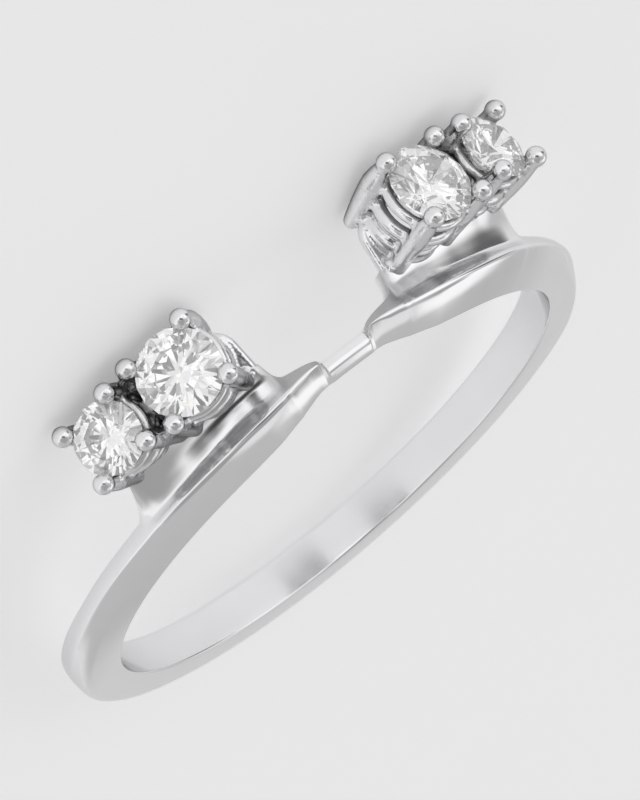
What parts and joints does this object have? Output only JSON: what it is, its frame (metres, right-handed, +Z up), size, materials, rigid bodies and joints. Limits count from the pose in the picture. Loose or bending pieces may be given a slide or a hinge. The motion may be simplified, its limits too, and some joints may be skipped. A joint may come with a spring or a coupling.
{
  "type": "ring guard",
  "caption": "Slim ring guard: an open-backed band with a thin bridge bar and a deck of prong-set round stones on each side of the gap that takes another ring's head.",
  "frame": {"origin": "on the floor below the centre of the part's box, as it lies at rest", "axes": "+Z up from the floor and near the finger's axis, +Y from the stones towards the bottom of the shank, +X to the right as seen from the stones' end"},
  "size_m": [0.02, 0.0222, 0.0042],
  "materials": {
    "polished_metal": "polished white metal",
    "clear_stone": "faceted clear stone"
  },
  "bodies": {
    "root": {"mounting": "polished_metal", "large_stone_left": "clear_stone", "large_stone_right": "clear_stone", "small_stone_left": "clear_stone", "small_stone_right": "clear_stone"}
  },
  "joints": []
}
